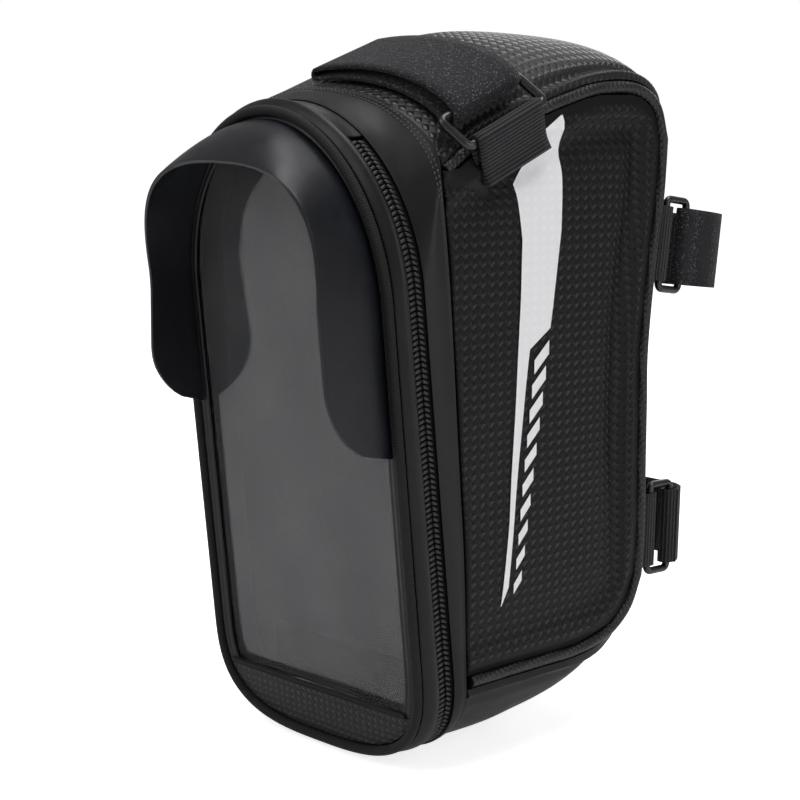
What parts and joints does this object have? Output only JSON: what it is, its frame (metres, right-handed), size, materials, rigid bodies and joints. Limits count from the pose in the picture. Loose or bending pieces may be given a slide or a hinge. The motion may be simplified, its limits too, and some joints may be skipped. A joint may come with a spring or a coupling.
{
  "type": "front frame bag",
  "caption": "Small sewn bag for the frame behind a bicycle's head tube, with a hinged lid, clear phone window, sun visor and three strap loops.",
  "frame": {"origin": "middle of the bag's flat rear end", "axes": "+Z towards the bag's front end (forward on the bicycle), -Y out of the lid and its phone window (up on the bicycle), +Y towards the frame tube, +X to the side with the head strap's ring"},
  "size_m": [0.1085, 0.1809, 0.2144],
  "materials": {
    "embossed": "embossed synthetic laminate",
    "smooth": "smooth synthetic laminate",
    "piping": "ribbed synthetic piping",
    "webbing": "woven webbing and loop tape",
    "ring_plastic": "smooth moulded plastic",
    "zip_tape": "woven tape with moulded ribs",
    "slider_metal": "black painted zinc",
    "film": "clear touch film",
    "lining": "plain lining cloth"
  },
  "bodies": {
    "bag": {"side_panel_right": "embossed", "side_panel_left": "embossed", "front_end_panel": "embossed", "tube_side_panel": "embossed", "rear_end_panel": "smooth", "piping_right": "piping", "piping_left": "piping", "zip_band": "smooth", "body_zip_tape": "zip_tape", "hinge_strip": "smooth", "head_strap": "webbing", "head_ring": "ring_plastic", "head_ring_tab": "webbing", "upper_strap": "webbing", "upper_ring": "ring_plastic", "upper_ring_tab": "webbing", "lower_strap": "webbing", "lower_ring": "ring_plastic", "lower_ring_tab": "webbing"},
    "lid": {"lid_wall": "smooth", "lid_zip_tape": "zip_tape", "lid_binding": "piping", "window_frame": "smooth", "lower_insert": "embossed", "window_film": "film", "visor": "smooth", "pocket_gusset": "lining", "pocket_back": "lining"},
    "upper_slider": {"upper_slider": "slider_metal"},
    "upper_pull": {"upper_pull": "slider_metal"},
    "lower_slider": {"lower_slider": "slider_metal"},
    "lower_pull": {"lower_pull": "slider_metal"}
  },
  "joints": [
    {"name": "lid_hinge", "type": "hinge", "parent": "bag", "child": "lid", "pos_m": [0, -0.05518, 0.196], "axis": [-1, 0, 0], "range_deg": [0, 100]},
    {"name": "upper_zip_slide", "type": "slide", "parent": "bag", "child": "upper_slider", "axis": [0, -0.1044, 0.9945], "range_m": [0, 0.03]},
    {"name": "lower_zip_slide", "type": "slide", "parent": "bag", "child": "lower_slider", "axis": [0, 0.1044, -0.9945], "range_m": [0, 0.048]},
    {"name": "upper_pull_swing", "type": "hinge", "parent": "upper_slider", "child": "upper_pull", "pos_m": [-0.05015, -0.0461, 0.10949], "axis": [0, 0.9945, 0.1044], "range_deg": [0, 165]},
    {"name": "lower_pull_swing", "type": "hinge", "parent": "lower_slider", "child": "lower_pull", "pos_m": [-0.05015, -0.04442, 0.09351], "axis": [0, 0.9945, 0.1044], "range_deg": [0, 120]}
  ]
}
